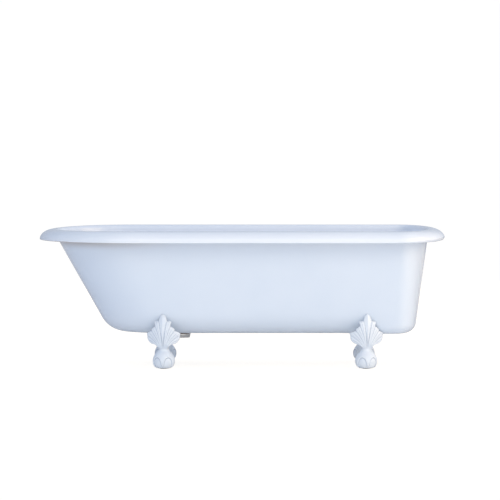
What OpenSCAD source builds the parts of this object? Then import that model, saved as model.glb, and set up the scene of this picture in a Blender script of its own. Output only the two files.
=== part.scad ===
// Roll-top cast-iron bath on four palmette, ball-and-claw feet.
// Millimetres. +X runs from the sloping head end to the upright, blunt end,
// +Y runs away from the viewer and Z = 0 is the floor that the feet stand on.

/* [Rim] */
// Length of the bath over its rolled rim
rim_l = 1730; // [1560:5:1860]
// Width of the bath over its rolled rim
rim_w = 780; // [700:5:840]
// Height of the rim's crest above the floor
rim_h = 585; // [560:1:640]
// Height of the roll, from its lip to its crest
roll_h = 48; // [40:1:56]
// Overhang of the lip beyond the side walls and the head end
roll_w = 78; // [70:1:88]
// Overhang of the lip beyond the blunt end
blunt_roll_w = 75; // [70:1:84]
// Radius of the crest's inner edge
crest_r = 17; // [12:1:24]
// Length of the blunt end's curve at the lip, along the bath
blunt_l = 197; // [160:1:260]
// Dip of the crest at the tip of the head end
head_dip = 4; // [0:0.5:8]

/* [Basin] */
// Thickness of the casting
wall = 6; // [5:0.5:8]
// Height of the basin's underside above the floor
base_h = 145; // [140:1:160]
// Lean of the sloping head end, in degrees from upright
head_lean = 29.5; // [22:0.5:32]
// Lean of the blunt end, in degrees from upright
blunt_lean = 8; // [4:0.5:12]
// Lean of the long sides, in degrees from upright
side_lean = 8.5; // [5:0.5:12]
// Bottom corner radius at the head end
head_r = 114; // [90:1:140]
// Bottom corner radius at the blunt end
blunt_r = 46; // [36:1:70]
// Length over which the side corners tighten towards the blunt end
blunt_blend = 220; // [120:5:400]
// Tuck of the blunt end's lip under its roll
blunt_tuck = 7; // [0:0.5:10]
// Squareness of the floor's blunt end, where 2 is an ellipse
blunt_square = 3; // [2:0.1:4]
// Bottom corner radius along the sides
side_r = 110; // [90:1:130]
// Tilt that the floor reaches where it meets the head end's corner
head_rise = 2.5; // [1:0.5:6]
// Radius of the long, shallow curve that lifts the floor towards the head end
head_rise_r = 1400; // [900:10:1800]

/* [Feet] */
// Distance from the head end's lip to the bolts of its feet
head_foot_in = 546; // [480:1:580]
// Distance from the blunt end's lip to the bolts of its feet
blunt_foot_in = 357; // [325:1:420]
// Distance from the side lips to the bolts of all four feet
side_foot_in = 250; // [245:1:262]
// Distance from a foot's bolt to the centre of its ball
foot_reach = 107; // [105:1:110]
// Outward turn of the head-end feet, in degrees
head_foot_turn = 7; // [0:1:10]
// Outward turn of the blunt-end feet, in degrees
blunt_foot_turn = 9; // [0:1:10]
// Radius of the claw's swell round the ball
claw_r = 47; // [42:0.5:52]
// Radius of the ball that shows between the toes
ball_r = 43; // [38:0.5:46]
// Height of the ball's centre
ball_h = 33; // [30:0.5:36]
// Radius of the ankle
ankle_r = 21; // [18:0.5:24]
// Radius of the hollow between the ankle and the claw
ankle_hollow_r = 30; // [24:1:40]
// Height of the palmette's root
leaf_z = 94; // [90:1:98]
// Length of the palmette's middle leaf above the root
leaf_l = 138; // [120:1:142]
// Distance that the palmette's root stands in front of the ball's centre
leaf_out = 30; // [27:0.5:32]
// Forward swell of the palmette's knee beyond its root
knee = 14; // [10:0.5:18]
// Height of the knee
knee_h = 165; // [160:1:172]
// Thickness of the palmette's casting
leaf_t = 10; // [8:0.5:13]
// Radius of the palmette's roundness across the foot
leaf_round_r = 80; // [74:1:110]
// Height of the flutes' ridges above their mean surface
flute = 2.4; // [1:0.1:3.5]
// Depth of the notches between the leaf tips
notch = 5; // [2:0.5:8]
// Depth of the groove along each side leaf, as a share of its flute's height
flute_groove = 0.6; // [0:0.1:1]

/* [Bolting] */
// Height of the cast pads that the feet are bolted to
pad_h = 10; // [8:0.5:12]
// Corner radius of a pad and of the flange under it
pad_r = 26; // [20:1:30]
// Length of a pad's straight sides
pad_l = 28; // [16:1:32]
// Thickness of a foot's flange
flange_t = 9; // [7:0.5:11]
// Radius of the studs
stud_r = 5; // [4:0.5:6]
// Depth of the tapped holes in the pads
tap_depth = 11; // [9:0.5:12]
// Radius of the clearance holes in the flanges
bolt_hole_r = 6.5; // [6.2:0.1:8]
// Width of the nuts across their flats
nut_af = 17; // [15:1:19]
// Height of the nuts
nut_h = 8; // [6:0.5:10]
// Radius of the washers
washer_r = 11; // [10:0.5:14]
// Thickness of the washers
washer_t = 2; // [1.5:0.5:3]
// Length of stud left below each nut
stud_end = 3; // [1:0.5:6]

/* [Waste] */
// Distance from the head end's lip to the drain's centre
drain_in = 603; // [600:1:640]
// Radius of the drain hole in the casting
drain_r = 24; // [23.5:0.1:25]
// Depth of the recess that holds the waste's flange
recess = 5; // [4.5:0.1:5.5]
// Radius of the waste's flange
waste_flange_r = 36; // [32:0.5:40]
// Height of the flange's rim
waste_flange_t = 4; // [3.8:0.1:4.6]
// Outer radius of the waste's tail
tail_r = 23; // [22:0.1:23.3]
// Radius of the waste's bore, below the strainer
bore_r = 19; // [17:0.5:20]
// Length of that bore, which takes the pipe's end
bore_l = 15; // [12:0.5:17]
// Radius of the waste's throat, at the strainer's bars
throat_r = 18; // [16:0.5:18]
// Height of the strainer's cross bars
bar_h = 6; // [4:0.5:7]
// Width of the strainer's cross bars
bar_w = 4; // [3:0.5:5]
// Radius of the strainer's hub
hub_r = 7; // [6:0.5:8]
// Radius of the locknut at its top
locknut_r = 41; // [38:0.5:44]
// Radius of the locknut at its lower edge
locknut_end_r = 37; // [34:0.5:40]
// Height of the locknut
locknut_h = 17; // [12:0.5:20]
// Thickness of the seal above the floor of the recess
top_seal_t = 1.5; // [1:0.1:2]
// Thickness of the rubber washer
rubber_t = 3.5; // [2:0.5:5]
// Thickness of the fibre washer
fibre_t = 1.5; // [1:0.1:2]
// Radius of the washers under the drain
under_washer_r = 38; // [34:0.5:40]

/* [Stopper] */
// Radius of the stopper's cap
cap_r = 26; // [25:0.5:28]
// Thickness of the cap at its edge
cap_t = 2.6; // [2:0.1:3.5]
// Crown of the cap above its edge
cap_crown = 1.6; // [0.5:0.1:2.5]
// Radius of the stopper's post
post_r = 3; // [2.5:0.1:3.5]
// Outer radius of the sleeve that slides on the post
sleeve_r = 6; // [5.5:0.1:6.5]
// Radius of the collar at the sleeve's foot
collar_r = 9; // [8:0.5:11]
// Radius of the knob's grip
knob_r = 8.5; // [7.5:0.5:10]
// Height of the knob
knob_h = 19; // [15:0.5:24]
// Height that the stopper lifts
stopper_lift = 9; // [5:0.5:9]
// Length of post that the lifted sleeve still holds
post_hold = 9; // [8:0.5:10]

/* [Hidden] */

$fn = 64;
// Gap between two castings that are fitted to each other
seat_gap = 0.3;
// Radial clearance between a thread and its mate
thread_gap = 0.1;
// Radial clearance of a sliding or turning fit
run_gap = 0.08;

// Levels of the basin
lip_z = rim_h - roll_h;
crest_z = rim_h - crest_r;
floor_z = base_h + wall;
lip_r = wall / 2;

// Each way out of the basin is [overhang, lean, corner radius, rise, rise radius]
HEAD = [roll_w, head_lean, head_r, head_rise, head_rise_r];
SIDE = [roll_w, side_lean, side_r, 0, side_r];
CORNER = [roll_w, side_lean, blunt_r, 0, blunt_r];
BLUNT = [blunt_roll_w, blunt_lean, blunt_r, 0, blunt_r];

// Steps of the casting's section and plan
plan_steps = 20;
corner_steps = 9;
roll_steps = 7;
crest_steps = 4;

function mix(a, b, f) = a + (b - a) * f;

// Inset of the wall's straight run at height z. The skin is 0 on the outer face
// and the wall's thickness on the inner face.
function run_in(way, z, skin) = way[0] + skin / cos(way[1]) + (lip_z - z) * tan(way[1]);

// Inset from the lip to the crest, where the crest's radius leaves the side wall
crest_in = run_in(SIDE, crest_z, wall) - crest_r;

// Height and inset of the centre of a bottom corner, and of the long curve beside it
function corner_z(way) = base_h + way[4] - (way[4] - way[2]) * cos(way[3]);
function corner_in(way) = run_in(way, corner_z(way) - way[2] * sin(way[1]), 0) + way[2] * cos(way[1]);
function rise_z(way) = base_h + way[4];
function rise_in(way) = corner_in(way) + (way[4] - way[2]) * sin(way[3]);

// Inset of the whole wall at height z: crest, upright neck or straight run,
// bottom corner, and the long curve into the floor
function wall_in(way, z, skin) =
    let (top_r = crest_r - wall + skin, low_r = way[2] - skin, long_r = way[4] - skin)
    z > crest_z ? crest_in + sqrt(max(0, pow(top_r, 2) - pow(z - crest_z, 2)))
    : z > corner_z(way) - low_r * sin(way[1]) ? max(run_in(way, z, skin), crest_in + top_r)
    : z > corner_z(way) - low_r * cos(way[3])
        ? corner_in(way) - sqrt(pow(low_r, 2) - pow(corner_z(way) - z, 2))
        : rise_in(way) - sqrt(max(0, pow(long_r, 2) - pow(rise_z(way) - z, 2)));

function clamp(f) = max(0, min(1, f));
function power(v, n) = sign(v) * pow(abs(v), n);

// One level of the casting: a round head end, straight sides that widen a little
// where their corners tighten, and a blunt end that grows squarer towards the floor
function plan(head_in, side_in, corner_in, blunt_in, z) =
    let (half_w = rim_w / 2 - side_in,
         corner_w = rim_w / 2 - corner_in,
         blunt_wall_l = corner_w * (blunt_l - roll_w) / (rim_w / 2 - roll_w),
         blunt_a = max(blunt_l - side_in, blunt_wall_l),
         square = 2 / mix(2, blunt_square, clamp((lip_z - z) / (lip_z - base_h))),
         head_x = -rim_l / 2 + head_in + half_w,
         blunt_x = rim_l / 2 - blunt_in - blunt_a,
         dip = head_dip * clamp((z - lip_z) / roll_h),
         blend = [for (f = [0:0.25:0.75])
             [blunt_x - blunt_blend * (1 - f), mix(half_w, corner_w, (1 - cos(180 * f)) / 2)]])
    concat([for (i = [0:plan_steps]) let (a = -90 + 180 * i / plan_steps)
                [blunt_x + blunt_a * power(cos(a), square), corner_w * power(sin(a), square), z]],
           [for (i = [3:-1:0]) [blend[i][0], blend[i][1], z]],
           [for (i = [0:plan_steps]) let (a = 90 + 180 * i / plan_steps)
                [head_x + half_w * cos(a), half_w * sin(a), z + dip * pow(cos(a), 3)]],
           [for (i = [0:3]) [blend[i][0], -blend[i][1], z]]);

function wall_level(z, skin) =
    plan(wall_in(HEAD, z, skin), wall_in(SIDE, z, skin), wall_in(CORNER, z, skin),
         wall_in(BLUNT, z, skin), z);

// A level of the roll or lip, all at one inset but for the blunt end's tuck
tuck_h = roll_h / 3;
function even_level(inset, z) =
    plan(inset, inset, inset, inset + blunt_tuck * pow(1 - clamp((z - lip_z) / tuck_h), 2), z);

function corner_levels(skin) =
    [for (i = [0:corner_steps])
        base_h + skin + (side_r - skin) * (1 - cos((90 - side_lean) * i / corner_steps))];
function crest_levels(skin) =
    [for (i = [0:crest_steps]) crest_z + (crest_r - wall + skin) * sin(90 * i / crest_steps)];

// A level of the roll, at an angle from the crest's top down to the lip
function roll_level(a, skin) =
    even_level(mix(skin, crest_in, 1 - sin(a)), lip_z + lip_r + (roll_h - lip_r - skin) * cos(a));

// Level where the head end's run meets its upright neck
function neck_z(skin) = lip_z + (run_in(HEAD, lip_z, skin) - crest_in - (crest_r - wall + skin)) / tan(head_lean);

casting_levels = concat(
    [for (z = corner_levels(wall)) wall_level(z, wall)],
    [wall_level(neck_z(wall), wall)],
    [for (z = crest_levels(wall)) wall_level(z, wall)],
    [for (i = [1:roll_steps]) roll_level(90 * i / roll_steps, 0)],
    [for (a = [45, 90, 135, 180]) even_level(lip_r * (1 - cos(a)), lip_z + lip_r * (1 - sin(a)))],
    [for (i = [1:roll_steps]) roll_level(90 - 90 * i / roll_steps, wall)],
    [for (i = [crest_steps - 1:-1:0]) wall_level(crest_levels(0)[i], 0)],
    [wall_level(neck_z(0), 0)],
    [for (i = [corner_steps:-1:0]) wall_level(corner_levels(0)[i], 0)]);

// Faces that close a ring of n points. With a fold, which is the place of a point
// on the ring's line of symmetry, they are rungs across from one half to the other.
function rung(n, fold, i) = let (a = (fold - i + n) % n, b = (a - 1 + n) % n, d = (fold + i) % n, c = (d + 1) % n)
    i == 0 ? [[a, b, c]] : i == n / 2 - 1 ? [[a, b, d]] : [[a, b, c], [a, c, d]];
function end_faces(n, fold) = is_undef(fold)
    ? [[for (j = [n - 1:-1:0]) j]]
    : [for (i = [0:n / 2 - 1]) each rung(n, fold, i)];

// Closed skin over a row of rings that have the same number of points
module skin(rings, fold) {
    n = len(rings[0]);
    last = (len(rings) - 1) * n;
    sides = [for (i = [0:n:last - n], j = [0:n - 1])
        let (a = i + j, b = i + (j + 1) % n)
        each [[a, b, b + n], [a, b + n, a + n]]];
    first_end = end_faces(n, fold);
    last_end = [for (f = first_end) [for (k = [len(f) - 1:-1:0]) f[k] + last]];
    polyhedron([for (r = rings) each r], concat(sides, first_end, last_end));
}

// Places that the four feet share
head_foot_x = head_foot_in - rim_l / 2;
blunt_foot_x = rim_l / 2 - blunt_foot_in;
bolt_y = rim_w / 2 - side_foot_in;
foot_xs = [head_foot_x, blunt_foot_x];
pad_z = base_h - pad_h;
flange_z = pad_z - flange_t;
nut_z = flange_z - washer_t - nut_h;

module at_bolts() {
    for (x = foot_xs, y = [-bolt_y, bolt_y]) translate([x, y, 0]) children();
}

// Outline of a pad and of the flange under it
module pad(h) {
    for (s = [-1, 1]) translate([0, s * pad_l / 2, 0]) cylinder(r = pad_r, h = h);
    translate([-pad_r, -pad_l / 2, 0]) cube([2 * pad_r, pad_l, h]);
}

// Levels of the drain, from the recess down to the tail's end
drain_x = drain_in - rim_l / 2;
seat_z = floor_z - recess;
boss_z = seat_z - wall - 1;
waste_z = seat_z + top_seal_t;
rubber_z = boss_z - rubber_t;
fibre_z = rubber_z - fibre_t;
locknut_z = fibre_z - locknut_h;
tail_z = locknut_z + 1.5;
recess_r = waste_flange_r + 1.5;

module tub_shell() {
    color("white") difference() {
        union() {
            skin(casting_levels, plan_steps / 2);
            at_bolts() translate([0, 0, pad_z]) pad(pad_h + wall / 2);
            translate([drain_x, 0, boss_z]) cylinder(r = locknut_r, h = base_h + wall / 2 - boss_z);
        }
        translate([drain_x, 0, boss_z - 1]) cylinder(r = drain_r, h = wall + recess + 4);
        translate([drain_x, 0, seat_z]) cylinder(r = recess_r, h = recess + 1);
        at_bolts() translate([0, 0, pad_z - 1]) cylinder(r = stud_r + thread_gap, h = tap_depth + 1);
    }
}

// Leaves of the palmette from the middle out: [angle where the leaf starts, and how
// much shorter than the middle leaf's tip its inner and outer corners are]
leaves = [[0, 0, 25], [9, 27, 25], [20, 46, 50], [36, 56, 50], [55, 54, 84]];
fan_end = 77;
leaf_columns = 8;
leaf_rows = [0.16, 0.34, 0.52, 0.7, 0.86, 1];
back_rows = [1, 0.55, 0.16];

// A ray of the palmette: [angle, length, ridge], where the ridge is 1 along a leaf's
// middle and -1 in the valley beside it. The side leaves have a groove down their middle.
function leaf_ray(column) =
    let (place = abs(column) / leaf_columns, i = floor(place), f = place - i,
         start = leaves[i][0], end = i + 1 < len(leaves) ? leaves[i + 1][0] : fan_end,
         across = i == 0 ? f : 2 * f - 1,
         in_valley = f == 0 && i > 0,
         drop = mix(leaves[i][1], leaves[i][2], f) + (in_valley ? notch : 0),
         groove = i > 0 && across == 0 ? flute_groove : 0)
    [sign(column) * mix(start, end, f), leaf_l - drop, 2 * sqrt(1 - pow(across, 2)) - 1 - groove];

// Depth of the palmette's mean front, which swells at the knee and rounds back
function leaf_front(x, z) =
    -foot_reach - leaf_out - knee * sin(90 * (z - leaf_z) / (knee_h - leaf_z))
    + pow(x, 2) / (2 * leaf_round_r);

// Depth at which the palmette would meet the bath's side, for a turned foot. The side
// stands furthest out where its bottom corner is tightest.
function seat_y(z) = rim_w / 2 - min(wall_in(SIDE, z, 0), wall_in(CORNER, z, 0));
function leaf_seat(x, z, turn) = (bolt_y - seat_y(z) - seat_gap - x * sin(turn)) / cos(turn);

function leaf_point(ray, t, turn, back) =
    let (x = t * ray[1] * sin(ray[0]), z = leaf_z + t * ray[1] * cos(ray[0]),
         front = leaf_front(x, z) - flute * ray[2] * min(1, 2 * t) - (t == 1 ? -1.5 : 0))
    [x, back ? min(front + leaf_t, leaf_seat(x, z, turn)) : front, z];

module palmette(turn) {
    reach = len(leaves) * leaf_columns - 1;
    skin([for (c = [-reach:reach]) let (ray = leaf_ray(c))
        concat([for (t = leaf_rows) leaf_point(ray, t, turn, false)],
               [for (t = back_rows) leaf_point(ray, t, turn, true)])]);
}

// Half section of the claw: its swell, the hollow above it and the ankle
hollow_z = ball_h + sqrt(pow(claw_r + ankle_hollow_r, 2) - pow(ankle_r + ankle_hollow_r, 2));
swell_share = claw_r / (claw_r + ankle_hollow_r);
swell_x = (ankle_r + ankle_hollow_r) * swell_share;
swell_z = ball_h + (hollow_z - ball_h) * swell_share;

module claw_section() {
    intersection() {
        translate([0, ball_h]) circle(r = claw_r);
        square([claw_r + 1, 2 * claw_r]);
    }
    difference() {
        polygon([[0, ball_h], [swell_x, swell_z], [ankle_r + ankle_hollow_r, hollow_z], [0, hollow_z]]);
        translate([ankle_r + ankle_hollow_r, hollow_z]) circle(r = ankle_hollow_r);
    }
    square([ankle_r, hollow_z + 2]);
}

// Height of the arches' centres, and the windows' narrowing towards the floor, which
// keeps the toes from pinching out
arch_z = ball_h - 4;
toe_taper = 0.82;

// Arched window between two toes, as wide as the given angle of the claw
module toe_window(angle) {
    half_w = claw_r * sin(angle / 2);
    rotate([90, 0, 0]) linear_extrude(2 * claw_r) {
        translate([0, arch_z]) circle(r = half_w);
        polygon([[-half_w, arch_z], [half_w, arch_z], [half_w * toe_taper, -1], [-half_w * toe_taper, -1]]);
    }
}

// Windows as [place round the ball, angle]: two narrow ones in front, two behind
windows = [[-31, 50], [31, 50], [-122, 58], [122, 58]];

module ball_and_claw() {
    difference() {
        rotate_extrude() claw_section();
        for (w = windows) rotate([0, 0, w[0]]) toe_window(w[1]);
    }
    intersection() {
        translate([0, 0, ball_h]) sphere(r = ball_r);
        cylinder(r = claw_r, h = 2 * claw_r);
    }
}

// Thickness of the web behind the palmette, its width at the top, and how far it
// stands back from the ankle where it meets the bath's pad
web_t = 12;
web_top_w = 20;
web_back = 25;
// Half-width of the shank, and the place where it meets the flange
shank_w = 17;
shank_y = -50;
shank_l = 14;

// Side outline of the web, from the ankle up behind the knee and to the flange
module web() {
    hip_z = mix(leaf_z, knee_h, 0.7);
    hip_y = leaf_front(0, hip_z) + leaf_t / 2;
    low_z = leaf_z - 4;
    rotate([90, 0, 90]) translate([0, 0, -web_t / 2]) linear_extrude(web_t)
        polygon([[-foot_reach - ankle_r / 2, low_z], [-foot_reach - ankle_r + 1, leaf_z],
                 [-foot_reach - leaf_out + leaf_t / 2, leaf_z + leaf_t], [hip_y, hip_z],
                 [hip_y + web_top_w, pad_z + web_t], [-foot_reach + web_back, pad_z],
                 [shank_y, pad_z], [shank_y, flange_z], [-foot_reach + ankle_r / 2, low_z]]);
}

module shank() {
    hull() {
        translate([0, -foot_reach, hollow_z - 4]) cylinder(r = ankle_r - 3, h = 7, $fn = 32);
        translate([-shank_w, shank_y, flange_z]) cube([2 * shank_w, shank_l, flange_t]);
    }
}

// A foot with its bolt hole on the Z axis and its ball towards -Y
module foot(turn) {
    difference() {
        union() {
            translate([0, -foot_reach, 0]) ball_and_claw();
            palmette(turn);
            web();
            shank();
            translate([0, 0, flange_z]) pad(flange_t);
            translate([-shank_w, shank_y, flange_z]) cube([2 * shank_w, -shank_y, flange_t]);
        }
        translate([0, 0, flange_z - 1]) cylinder(r = bolt_hole_r, h = flange_t + 2);
    }
}

module claw_foot(x, turn) {
    color("ghostwhite") translate([x, -bolt_y, 0]) rotate([0, 0, turn]) foot(turn);
}

module claw_foot_front_left() { claw_foot(head_foot_x, -head_foot_turn); }
module claw_foot_front_right() { claw_foot(blunt_foot_x, blunt_foot_turn); }
module claw_foot_back_left() { mirror([0, 1, 0]) claw_foot(head_foot_x, -head_foot_turn); }
module claw_foot_back_right() { mirror([0, 1, 0]) claw_foot(blunt_foot_x, blunt_foot_turn); }

module foot_studs() {
    color("silver") at_bolts() translate([0, 0, nut_z - stud_end])
        cylinder(r = stud_r, h = pad_z + tap_depth - nut_z + stud_end - 0.5);
}

module foot_washers() {
    color("silver") at_bolts() translate([0, 0, flange_z - washer_t]) difference() {
        cylinder(r = washer_r, h = washer_t);
        translate([0, 0, -1]) cylinder(r = stud_r + 4 * thread_gap, h = washer_t + 2);
    }
}

module foot_nuts() {
    color("silver") at_bolts() translate([0, 0, nut_z]) difference() {
        cylinder(r = nut_af / 2 / cos(30), h = nut_h, $fn = 6);
        translate([0, 0, -1]) cylinder(r = stud_r + thread_gap, h = nut_h + 2);
    }
}

// Levels of the waste and of the stopper above it
bar_z = waste_z - 12;
throat_z = waste_z + 1.5;
cap_z = floor_z + 1.4;
seal_z = waste_z + 2.5;
sleeve_z = bar_z + bar_h + 0.2;
collar_h = 2;
cap_hub_z = sleeve_z + collar_h + 0.15;
cap_hub_r = 12;
knob_z = cap_z + cap_t + cap_crown;
post_top = bar_z + bar_h + stopper_lift + post_hold;

module at_drain(z) {
    translate([drain_x, 0, z]) children();
}

module ring(outer, inner, h) {
    difference() {
        cylinder(r = outer, h = h);
        translate([0, 0, -1]) cylinder(r = inner, h = h + 2);
    }
}

// Half section of the waste: a dished flange over a plain tail
module waste_flange() {
    color("lightgray") at_drain(0) {
        rotate_extrude() polygon([
            [throat_r, tail_z + bore_l], [bore_r, tail_z + bore_l], [bore_r, tail_z], [tail_r, tail_z],
            [tail_r, waste_z], [waste_flange_r - 1, waste_z],
            [waste_flange_r, waste_z + 1], [waste_flange_r, waste_z + waste_flange_t - 1.5],
            [waste_flange_r - 1.5, waste_z + waste_flange_t], [throat_r + 2, throat_z],
            [throat_r, throat_z - 2]]);
        difference() {
            union() {
                translate([0, 0, bar_z]) cylinder(r = hub_r, h = bar_h);
                for (a = [0, 90]) rotate([0, 0, a])
                    translate([-throat_r - 2, -bar_w / 2, bar_z]) cube([2 * throat_r + 4, bar_w, bar_h]);
            }
            translate([0, 0, bar_z - 1]) cylinder(r = post_r + thread_gap, h = bar_h + 2);
        }
    }
}

module waste_top_seal() {
    color("dimgray") at_drain(seat_z) ring(waste_flange_r - 1, drain_r, top_seal_t);
}

module waste_rubber_washer() {
    color("dimgray") at_drain(rubber_z) ring(under_washer_r, tail_r + 0.5, rubber_t);
}

module waste_fibre_washer() {
    color("sienna") at_drain(fibre_z) ring(under_washer_r, tail_r + 0.5, fibre_t);
}

module waste_locknut() {
    color("gray") at_drain(locknut_z) difference() {
        union() {
            cylinder(r1 = locknut_end_r, r2 = locknut_r - 0.5, h = locknut_h - 4);
            translate([0, 0, locknut_h - 4]) cylinder(r = locknut_r, h = 4);
        }
        translate([0, 0, -1]) cylinder(r = tail_r + thread_gap, h = locknut_h + 2);
    }
}

module stopper_post() {
    color("silver") at_drain(bar_z) cylinder(r = post_r, h = post_top - bar_z);
}

module stopper_sleeve() {
    color("silver") at_drain(sleeve_z) difference() {
        union() {
            cylinder(r = collar_r, h = collar_h);
            cylinder(r = sleeve_r, h = knob_z - sleeve_z - 0.3);
        }
        translate([0, 0, -1]) cylinder(r = post_r + run_gap, h = knob_z);
    }
}

module stopper_cap() {
    color("lightgray") at_drain(0) rotate_extrude() polygon([
        [sleeve_r + run_gap, cap_hub_z], [cap_hub_r, cap_hub_z], [cap_hub_r, cap_z], [cap_r - 0.8, cap_z],
        [cap_r, cap_z + 0.8], [cap_r, cap_z + cap_t - 1], [cap_r - 1, cap_z + cap_t],
        [knob_r + 1, knob_z], [sleeve_r + run_gap, knob_z]]);
}

module stopper_seal() {
    color("dimgray") at_drain(seal_z) ring(cap_r - 2, cap_hub_r, cap_z - seal_z);
}

// Turned knob: a waisted stem under a rounded grip, hollow over the post
module stopper_knob() {
    color("lightgray") at_drain(knob_z) difference() {
        rotate_extrude() difference() {
            union() {
                square([knob_r - 1, knob_h / 2]);
                translate([0, knob_h - knob_r]) intersection() {
                    circle(r = knob_r);
                    translate([0, -knob_r]) square([knob_r, 2 * knob_r]);
                }
            }
            translate([knob_r + 2.2, knob_h * 0.26]) circle(r = 5);
        }
        translate([0, 0, -1]) cylinder(r = post_r + 0.6, h = post_top - knob_z + 2);
    }
}

tub_shell();
claw_foot_front_left();
claw_foot_front_right();
claw_foot_back_left();
claw_foot_back_right();
foot_studs();
foot_washers();
foot_nuts();
waste_flange();
waste_top_seal();
waste_rubber_washer();
waste_fibre_washer();
waste_locknut();
stopper_post();
stopper_sleeve();
stopper_cap();
stopper_seal();
stopper_knob();
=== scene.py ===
# %% [markdown]
# # A roll-top cast-iron bath
#
# This lesson dresses a bath whose solids were already drawn in CAD. The bath is
# one large enamelled casting with a rolled rim. It stands on four cast feet, each
# a palmette over an ankle and a claw that grips a ball, and it has a metal waste
# with a stopper in its floor.
#
# The CAD solids are exact in size but coarse, because they also serve for
# weight and collision. Here the visible surfaces are made again, finer and with
# the soft edges that casting, enamel and paint give. Every piece keeps the place
# and size of the solid that it stands for.

import math

import bmesh
import bpy
import numpy as np
from mathutils import Matrix, Vector


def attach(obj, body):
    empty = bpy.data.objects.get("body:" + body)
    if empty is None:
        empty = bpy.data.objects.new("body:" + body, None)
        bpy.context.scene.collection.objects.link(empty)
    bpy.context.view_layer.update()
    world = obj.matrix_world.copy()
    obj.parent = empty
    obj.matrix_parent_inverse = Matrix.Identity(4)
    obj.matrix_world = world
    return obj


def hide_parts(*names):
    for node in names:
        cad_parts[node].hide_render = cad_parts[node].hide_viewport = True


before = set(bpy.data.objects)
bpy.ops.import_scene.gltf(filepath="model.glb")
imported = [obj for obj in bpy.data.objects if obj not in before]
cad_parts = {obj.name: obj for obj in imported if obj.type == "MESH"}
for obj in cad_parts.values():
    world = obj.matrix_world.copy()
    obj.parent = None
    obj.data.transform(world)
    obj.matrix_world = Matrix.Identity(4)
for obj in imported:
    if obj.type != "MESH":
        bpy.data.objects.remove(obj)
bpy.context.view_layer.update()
mm = 0.001

# %% [markdown]
# ## The camera
#
# The bath was photographed square to its long side, from a little above its rim,
# and from far away, so the two ends look almost alike in scale. A long lens at a
# great distance gives that flat look. The rise of the camera comes from the rim:
# its near and far crests, which are level, stand a few pixels apart.

# %% The camera
camera_distance = 25.0
camera_target = Vector((0.0327, 0.0, 0.4905))
camera_slope = math.atan2(0.0449 * camera_distance + 0.0945, camera_distance)
pixels_per_metre = 234.1
image_pixels = 500

camera_data = bpy.data.cameras.new("camera")
camera_data.sensor_width = 36.0
camera_data.lens = 36.0 * pixels_per_metre * camera_distance / image_pixels
camera_data.clip_end = 1000.0
camera = bpy.data.objects.new("camera", camera_data)
looking = Vector((0.0, math.cos(camera_slope), -math.sin(camera_slope)))
camera.location = camera_target - looking * camera_distance
camera.rotation_euler = looking.to_track_quat("-Z", "Y").to_euler()
bpy.context.scene.collection.objects.link(camera)
bpy.context.scene.camera = camera
bpy.context.scene.view_settings.view_transform = "Standard"
print("lens", round(camera_data.lens, 1), "mm, slope", round(math.degrees(camera_slope), 2), "degrees")

# %% [markdown]
# ## Helpers for skins and meshes
#
# Most pieces here are skins over rings of points: the casting is a stack of
# level outlines, a turned piece is a profile carried round an axis. One helper
# turns a block of rings into quads. Another turns points and faces into an
# object that rides on its body, so no piece is forgotten.

# %% Helpers for skins and meshes
def ring_faces(rings, points, closed=False):
    """Quads between neighbouring rings, and from the last ring to the first where closed."""
    pairs = [(r, r + 1) for r in range(rings - 1)] + ([(rings - 1, 0)] if closed else [])
    return [
        (a * points + i, a * points + (i + 1) % points, b * points + (i + 1) % points, b * points + i)
        for a, b in pairs
        for i in range(points)
    ]


def around(steps):
    """The angles of one full turn in equal steps."""
    return [2 * math.pi * i / steps for i in range(steps)]


def new_mesh(name, points, faces):
    mesh = bpy.data.meshes.new(name)
    mesh.from_pydata([tuple(p) for p in points], [], faces)
    mesh.validate()
    return mesh


def new_object(name, mesh):
    thing = bpy.data.objects.new(name, mesh)
    bpy.context.scene.collection.objects.link(thing)
    return thing


def outward(mesh):
    """Turns every face's normal outwards and gives the mesh back."""
    work = bmesh.new()
    work.from_mesh(mesh)
    bmesh.ops.recalc_face_normals(work, faces=work.faces)
    work.to_mesh(mesh)
    work.free()
    return mesh


def capped(name, points, rings, count):
    """A closed skin over a stack of rings, with a flat face on the first and on the last."""
    last = (rings - 1) * count
    caps = [tuple(range(count))[::-1], tuple(range(last, last + count))]
    return outward(new_mesh(name, points, ring_faces(rings, count) + caps))


def settle(thing):
    """Applies the object's modifiers to its mesh."""
    graph = bpy.context.evaluated_depsgraph_get()
    graph.update()
    made = bpy.data.meshes.new_from_object(thing.evaluated_get(graph))
    thing.modifiers.clear()
    thing.data = made


def smooth(mesh, angle):
    """Smooth shading with sharp edges where faces meet at more than the angle, in degrees."""
    mesh.shade_smooth()
    mesh.set_sharp_from_angle(angle=math.radians(angle))


def piece(name, mesh, material, slot, *nodes, body="bath", sharp=40):
    """An object that stands for CAD nodes, wears a material and rides on a body. An edge is sharp
    where its faces meet at more than the angle that sharp gives, in degrees."""
    thing = new_object(name, mesh)
    smooth(mesh, sharp)
    mesh.materials.clear()
    mesh.materials.append(material)
    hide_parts(*nodes)
    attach(thing, body)
    print(name, len(mesh.vertices), "points")
    return thing


# %% [markdown]
# ## Helpers for finishes
#
# Every finish here is a principled shader with a few nodes in front of it: noises
# for uneven colour, ramps that pick out a range, and bump for the skin. A small
# class keeps those nodes short to write. All patterns are laid out in the
# object's own space, so they stay on the surface when the view or a joint moves.

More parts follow.
